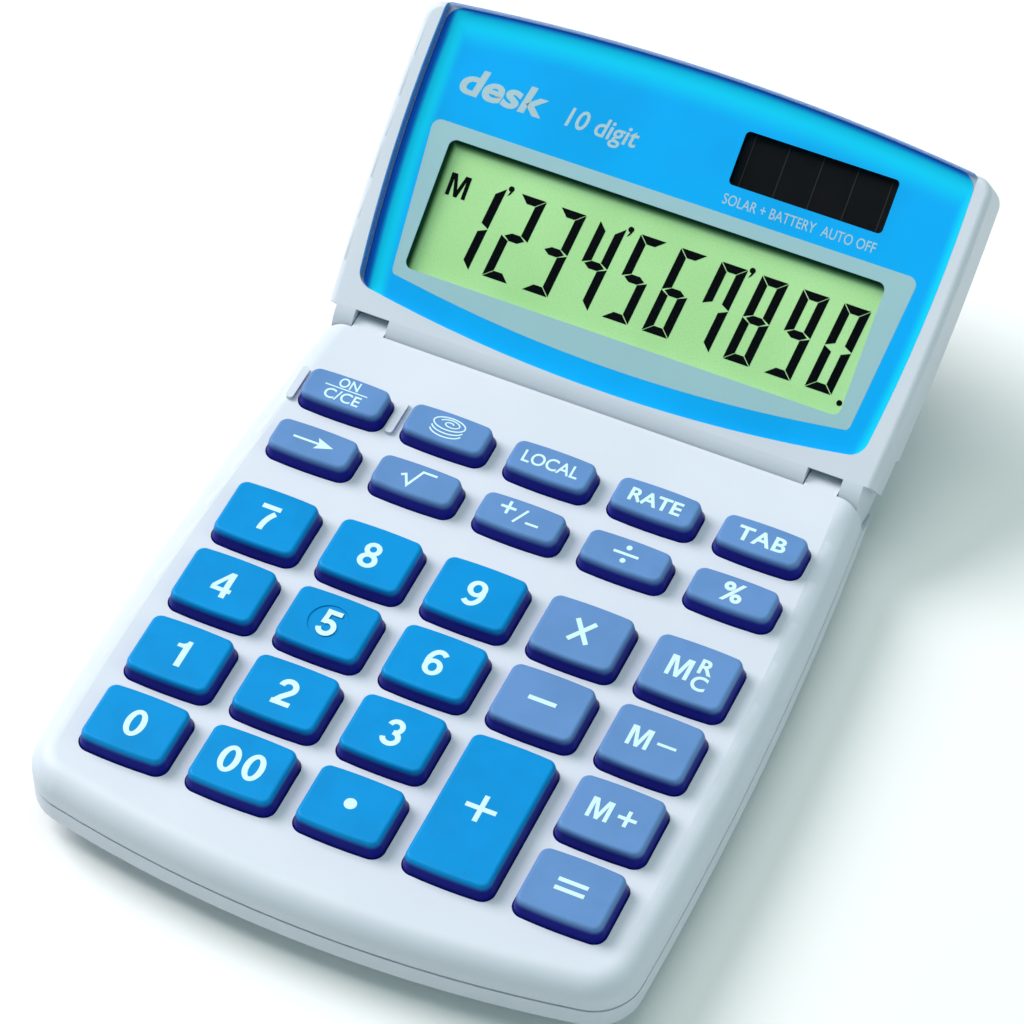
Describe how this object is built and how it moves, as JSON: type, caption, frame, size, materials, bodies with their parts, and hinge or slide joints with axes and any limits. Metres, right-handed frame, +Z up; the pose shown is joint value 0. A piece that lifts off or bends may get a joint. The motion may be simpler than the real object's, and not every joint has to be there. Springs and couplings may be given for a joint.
{
  "type": "desk calculator",
  "caption": "Desk calculator with a bowed base, blocks of raised keys and a hinged display housing under a clear bowed lens, with a solar cell beside the display.",
  "frame": {"origin": "on the table under the middle of the whole calculator with its display raised as at rest", "axes": "+Y from the front edge towards the display, +X to the right as seen by its user, +Z up"},
  "size_m": [0.1012, 0.1582, 0.0477],
  "materials": {
    "case_plastic": "fine satin grain",
    "key_blue": "satin",
    "key_lavender": "satin",
    "lens_acrylic": "polished, clear",
    "lens_print": "printed film",
    "lcd_glass": "satin, reflective green backing",
    "solar_glass": "polished black",
    "keypad_rubber": "moulded",
    "zebra_rubber": "moulded",
    "foot_rubber": "moulded",
    "board_laminate": "solder resist",
    "chip_epoxy": "cast epoxy",
    "flat_cable": "film",
    "cell_can": "plated",
    "contact_metal": "plated strip",
    "screw_steel": "zinc plated",
    "pin_steel": "ground"
  },
  "bodies": {
    "base": {"upper_case": "case_plastic", "lower_case": "case_plastic", "battery_cell": "cell_can", "battery_contact_minus": "contact_metal", "battery_contact_plus": "contact_metal", "main_board": "board_laminate", "board_chip": "chip_epoxy", "rubber_keypad": "keypad_rubber", "ribbon_cable_base": "flat_cable", "case_screws": "screw_steel", "board_screws": "screw_steel", "rubber_feet": "foot_rubber", "hinge_pins": "pin_steel"},
    "display_head": {"display_front_case": "case_plastic", "display_rear_case": "case_plastic", "display_lens": "lens_acrylic", "lens_backing": "lens_print", "lcd_panel": "lcd_glass", "zebra_strip": "zebra_rubber", "solar_cell": "solar_glass", "display_board": "board_laminate", "ribbon_cable_head": "flat_cable", "display_screws": "screw_steel"},
    "battery_door": {"battery_door": "case_plastic"},
    "key_on_clear": {"key_on_clear": "key_lavender"},
    "key_currency": {"key_currency": "key_lavender"},
    "key_local": {"key_local": "key_lavender"},
    "key_rate": {"key_rate": "key_lavender"},
    "key_tab": {"key_tab": "key_lavender"},
    "key_arrow": {"key_arrow": "key_lavender"},
    "key_root": {"key_root": "key_lavender"},
    "key_sign": {"key_sign": "key_lavender"},
    "key_divide": {"key_divide": "key_lavender"},
    "key_percent": {"key_percent": "key_lavender"},
    "key_7": {"key_7": "key_blue"},
    "key_8": {"key_8": "key_blue"},
    "key_9": {"key_9": "key_blue"},
    "key_times": {"key_times": "key_lavender"},
    "key_memory_recall": {"key_memory_recall": "key_lavender"},
    "key_4": {"key_4": "key_blue"},
    "key_5": {"key_5": "key_blue"},
    "key_6": {"key_6": "key_blue"},
    "key_minus": {"key_minus": "key_lavender"},
    "key_memory_minus": {"key_memory_minus": "key_lavender"},
    "key_1": {"key_1": "key_blue"},
    "key_2": {"key_2": "key_blue"},
    "key_3": {"key_3": "key_blue"},
    "key_plus": {"key_plus": "key_blue"},
    "key_memory_plus": {"key_memory_plus": "key_lavender"},
    "key_0": {"key_0": "key_blue"},
    "key_00": {"key_00": "key_blue"},
    "key_point": {"key_point": "key_blue"},
    "key_equals": {"key_equals": "key_lavender"}
  },
  "joints": [
    {"name": "display_tilt", "type": "hinge", "parent": "base", "child": "display_head", "pos_m": [0, 0.03138, 0.0115], "axis": [1, 0, 0], "range_deg": [-34.5, 10]},
    {"name": "battery_door_slide", "type": "slide", "parent": "base", "child": "battery_door", "axis": [0, 1, 0], "range_m": [0, 0.026]},
    {"name": "press_on_clear", "type": "slide", "parent": "base", "child": "key_on_clear", "axis": [0, 0, -1], "range_m": [0, 0.0012], "stiffness_N_per_m": 600, "springref_m": -0.0003, "deforming": ["rubber_keypad"]},
    {"name": "press_currency", "type": "slide", "parent": "base", "child": "key_currency", "axis": [0, 0, -1], "range_m": [0, 0.0012], "stiffness_N_per_m": 600, "springref_m": -0.0003, "deforming": ["rubber_keypad"]},
    {"name": "press_local", "type": "slide", "parent": "base", "child": "key_local", "axis": [0, 0, -1], "range_m": [0, 0.0012], "stiffness_N_per_m": 600, "springref_m": -0.0003, "deforming": ["rubber_keypad"]},
    {"name": "press_rate", "type": "slide", "parent": "base", "child": "key_rate", "axis": [0, 0, -1], "range_m": [0, 0.0012], "stiffness_N_per_m": 600, "springref_m": -0.0003, "deforming": ["rubber_keypad"]},
    {"name": "press_tab", "type": "slide", "parent": "base", "child": "key_tab", "axis": [0, 0, -1], "range_m": [0, 0.0012], "stiffness_N_per_m": 600, "springref_m": -0.0003, "deforming": ["rubber_keypad"]},
    {"name": "press_arrow", "type": "slide", "parent": "base", "child": "key_arrow", "axis": [0, 0, -1], "range_m": [0, 0.0012], "stiffness_N_per_m": 600, "springref_m": -0.0003, "deforming": ["rubber_keypad"]},
    {"name": "press_root", "type": "slide", "parent": "base", "child": "key_root", "axis": [0, 0, -1], "range_m": [0, 0.0012], "stiffness_N_per_m": 600, "springref_m": -0.0003, "deforming": ["rubber_keypad"]},
    {"name": "press_sign", "type": "slide", "parent": "base", "child": "key_sign", "axis": [0, 0, -1], "range_m": [0, 0.0012], "stiffness_N_per_m": 600, "springref_m": -0.0003, "deforming": ["rubber_keypad"]},
    {"name": "press_divide", "type": "slide", "parent": "base", "child": "key_divide", "axis": [0, 0, -1], "range_m": [0, 0.0012], "stiffness_N_per_m": 600, "springref_m": -0.0003, "deforming": ["rubber_keypad"]},
    {"name": "press_percent", "type": "slide", "parent": "base", "child": "key_percent", "axis": [0, 0, -1], "range_m": [0, 0.0012], "stiffness_N_per_m": 600, "springref_m": -0.0003, "deforming": ["rubber_keypad"]},
    {"name": "press_7", "type": "slide", "parent": "base", "child": "key_7", "axis": [0, 0, -1], "range_m": [0, 0.0012], "stiffness_N_per_m": 600, "springref_m": -0.0003, "deforming": ["rubber_keypad"]},
    {"name": "press_8", "type": "slide", "parent": "base", "child": "key_8", "axis": [0, 0, -1], "range_m": [0, 0.0012], "stiffness_N_per_m": 600, "springref_m": -0.0003, "deforming": ["rubber_keypad"]},
    {"name": "press_9", "type": "slide", "parent": "base", "child": "key_9", "axis": [0, 0, -1], "range_m": [0, 0.0012], "stiffness_N_per_m": 600, "springref_m": -0.0003, "deforming": ["rubber_keypad"]},
    {"name": "press_times", "type": "slide", "parent": "base", "child": "key_times", "axis": [0, 0, -1], "range_m": [0, 0.0012], "stiffness_N_per_m": 600, "springref_m": -0.0003, "deforming": ["rubber_keypad"]},
    {"name": "press_memory_recall", "type": "slide", "parent": "base", "child": "key_memory_recall", "axis": [0, 0, -1], "range_m": [0, 0.0012], "stiffness_N_per_m": 600, "springref_m": -0.0003, "deforming": ["rubber_keypad"]},
    {"name": "press_4", "type": "slide", "parent": "base", "child": "key_4", "axis": [0, 0, -1], "range_m": [0, 0.0012], "stiffness_N_per_m": 600, "springref_m": -0.0003, "deforming": ["rubber_keypad"]},
    {"name": "press_5", "type": "slide", "parent": "base", "child": "key_5", "axis": [0, 0, -1], "range_m": [0, 0.0012], "stiffness_N_per_m": 600, "springref_m": -0.0003, "deforming": ["rubber_keypad"]},
    {"name": "press_6", "type": "slide", "parent": "base", "child": "key_6", "axis": [0, 0, -1], "range_m": [0, 0.0012], "stiffness_N_per_m": 600, "springref_m": -0.0003, "deforming": ["rubber_keypad"]},
    {"name": "press_minus", "type": "slide", "parent": "base", "child": "key_minus", "axis": [0, 0, -1], "range_m": [0, 0.0012], "stiffness_N_per_m": 600, "springref_m": -0.0003, "deforming": ["rubber_keypad"]},
    {"name": "press_memory_minus", "type": "slide", "parent": "base", "child": "key_memory_minus", "axis": [0, 0, -1], "range_m": [0, 0.0012], "stiffness_N_per_m": 600, "springref_m": -0.0003, "deforming": ["rubber_keypad"]},
    {"name": "press_1", "type": "slide", "parent": "base", "child": "key_1", "axis": [0, 0, -1], "range_m": [0, 0.0012], "stiffness_N_per_m": 600, "springref_m": -0.0003, "deforming": ["rubber_keypad"]},
    {"name": "press_2", "type": "slide", "parent": "base", "child": "key_2", "axis": [0, 0, -1], "range_m": [0, 0.0012], "stiffness_N_per_m": 600, "springref_m": -0.0003, "deforming": ["rubber_keypad"]},
    {"name": "press_3", "type": "slide", "parent": "base", "child": "key_3", "axis": [0, 0, -1], "range_m": [0, 0.0012], "stiffness_N_per_m": 600, "springref_m": -0.0003, "deforming": ["rubber_keypad"]},
    {"name": "press_plus", "type": "slide", "parent": "base", "child": "key_plus", "axis": [0, 0, -1], "range_m": [0, 0.0012], "stiffness_N_per_m": 600, "springref_m": -0.0003, "deforming": ["rubber_keypad"]},
    {"name": "press_memory_plus", "type": "slide", "parent": "base", "child": "key_memory_plus", "axis": [0, 0, -1], "range_m": [0, 0.0012], "stiffness_N_per_m": 600, "springref_m": -0.0003, "deforming": ["rubber_keypad"]},
    {"name": "press_0", "type": "slide", "parent": "base", "child": "key_0", "axis": [0, 0, -1], "range_m": [0, 0.0012], "stiffness_N_per_m": 600, "springref_m": -0.0003, "deforming": ["rubber_keypad"]},
    {"name": "press_00", "type": "slide", "parent": "base", "child": "key_00", "axis": [0, 0, -1], "range_m": [0, 0.0012], "stiffness_N_per_m": 600, "springref_m": -0.0003, "deforming": ["rubber_keypad"]},
    {"name": "press_point", "type": "slide", "parent": "base", "child": "key_point", "axis": [0, 0, -1], "range_m": [0, 0.0012], "stiffness_N_per_m": 600, "springref_m": -0.0003, "deforming": ["rubber_keypad"]},
    {"name": "press_equals", "type": "slide", "parent": "base", "child": "key_equals", "axis": [0, 0, -1], "range_m": [0, 0.0012], "stiffness_N_per_m": 600, "springref_m": -0.0003, "deforming": ["rubber_keypad"]}
  ]
}
